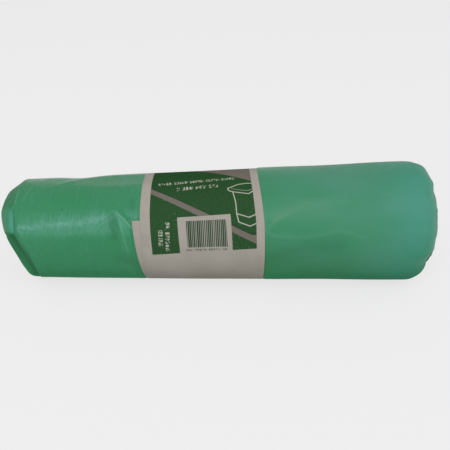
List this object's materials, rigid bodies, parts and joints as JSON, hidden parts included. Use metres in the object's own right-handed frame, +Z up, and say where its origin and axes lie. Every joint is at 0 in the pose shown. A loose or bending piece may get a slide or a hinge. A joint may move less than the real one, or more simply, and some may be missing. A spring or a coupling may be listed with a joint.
{
  "type": "bin bag roll",
  "caption": "Soft roll of green plastic bin bags lying on its side, thicker at one end and squashed at the other, held round the middle by a printed paper band",
  "frame": {"origin": "middle of the bounding box, on the surface that the roll lies on", "axes": "+X along the roll towards its thicker end, +Z up, and the front with the print's bars and stripe faces -Y"},
  "size_m": [0.234, 0.067, 0.0659],
  "materials": {
    "film": "satin",
    "paper": "matte"
  },
  "bodies": {
    "root": {"bag_roll": "film", "paper_band": "paper"}
  },
  "joints": []
}
